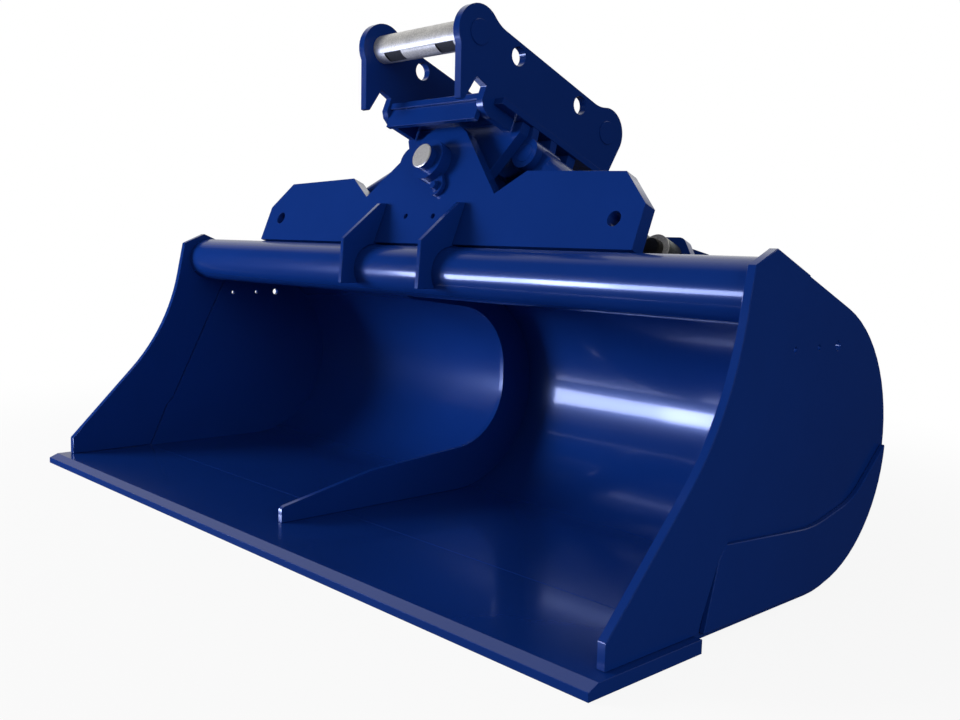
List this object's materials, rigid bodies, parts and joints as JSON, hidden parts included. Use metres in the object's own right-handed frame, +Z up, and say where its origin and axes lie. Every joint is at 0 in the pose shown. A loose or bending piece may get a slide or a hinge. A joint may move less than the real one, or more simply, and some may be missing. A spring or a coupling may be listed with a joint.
{
  "type": "tilting ditching bucket",
  "caption": "Wide shallow ditching bucket with a pinned headstock that tilts sideways on a sloping pivot pin, driven by a hydraulic cylinder each side.",
  "frame": {"origin": "centre of the cutting edge's underside, on the floor", "axes": "+X along the bucket's width, to the right seen from the mouth; +Y back into the bucket; +Z up"},
  "size_m": [1.8, 0.9235, 1.0563],
  "materials": {
    "blue_paint": "glossy",
    "machined_steel": "machined, light grey",
    "dark_steel": "oiled dark steel",
    "zinc_steel": "zinc plated, matt",
    "chrome": "hard chrome",
    "bronze": "plain bronze"
  },
  "bodies": {
    "bucket": {"cutting_edge": "blue_paint", "shell_sheet": "blue_paint", "torque_tube": "blue_paint", "centre_rib": "blue_paint", "front_tilt_plate": "blue_paint", "rear_tilt_plate": "blue_paint", "front_pivot_boss": "blue_paint", "rear_pivot_boss": "blue_paint", "pivot_pin_keeper": "blue_paint", "pivot_pin": "machined_steel", "side_cutter_left": "blue_paint", "side_cutter_right": "blue_paint", "side_plate_left": "blue_paint", "side_plate_right": "blue_paint", "heel_plate_left": "blue_paint", "heel_plate_right": "blue_paint", "wear_runner_left": "blue_paint", "wear_runner_right": "blue_paint", "front_gusset_left": "blue_paint", "front_gusset_right": "blue_paint", "rear_gusset_left": "blue_paint", "rear_gusset_right": "blue_paint", "clevis_plate_left": "blue_paint", "clevis_plate_right": "blue_paint", "rod_pin_left": "dark_steel", "rod_pin_right": "dark_steel"},
    "headstock": {"hub_tube": "blue_paint", "front_hub_bush": "bronze", "rear_hub_bush": "bronze", "deck_plate": "blue_paint", "front_web": "blue_paint", "front_hub_plate": "blue_paint", "rear_hub_plate": "blue_paint", "front_hitch_pin": "machined_steel", "rear_hitch_pin": "machined_steel", "ear_left": "blue_paint", "ear_right": "blue_paint", "front_lug_left": "blue_paint", "front_lug_right": "blue_paint", "rear_lug_left": "blue_paint", "rear_lug_right": "blue_paint", "front_base_pin_left": "blue_paint", "front_base_pin_right": "blue_paint", "rear_base_pin_left": "dark_steel", "rear_base_pin_right": "dark_steel"},
    "rod_left_body": {"rod_left": "zinc_steel", "rod_eye_bush_left": "bronze", "piston_left": "chrome"},
    "barrel_left_body": {"barrel_left": "blue_paint", "base_eye_bush_left": "bronze", "base_pin_core_left": "zinc_steel", "gland_left": "chrome"},
    "rod_right_body": {"rod_right": "zinc_steel", "rod_eye_bush_right": "bronze", "piston_right": "chrome"},
    "barrel_right_body": {"barrel_right": "blue_paint", "base_eye_bush_right": "bronze", "base_pin_core_right": "zinc_steel", "gland_right": "chrome"}
  },
  "joints": [
    {"name": "tilt", "type": "hinge", "parent": "bucket", "child": "headstock", "pos_m": [0, 0.33653, 0.76226], "axis": [0, 0.9272, -0.3746], "range_deg": [-25, 25]},
    {"name": "rod_swing_left", "type": "hinge", "parent": "bucket", "child": "rod_left_body", "pos_m": [-0.577, 0.41478, 0.56886], "axis": [0, 0.9272, -0.3746], "range_deg": [-8.19, 8.19]},
    {"name": "barrel_slide_left", "type": "slide", "parent": "rod_left_body", "child": "barrel_left_body", "axis": [0.888, 0.1723, 0.4264], "range_m": [-0.0594, 0.0594]},
    {"name": "rod_swing_right", "type": "hinge", "parent": "bucket", "child": "rod_right_body", "pos_m": [0.577, 0.41478, 0.56886], "axis": [0, 0.9272, -0.3746], "range_deg": [-8.19, 8.19]},
    {"name": "barrel_slide_right", "type": "slide", "parent": "rod_right_body", "child": "barrel_right_body", "axis": [-0.888, 0.1723, 0.4264], "range_m": [-0.0594, 0.0594]}
  ],
  "couplings": [
    {"joint": "rod_swing_left", "follows": "tilt", "ratio": -0.32738},
    {"joint": "barrel_slide_left", "follows": "tilt", "m_per_rad": 0.136},
    {"joint": "rod_swing_right", "follows": "tilt", "ratio": -0.32738},
    {"joint": "barrel_slide_right", "follows": "tilt", "m_per_rad": -0.136}
  ]
}
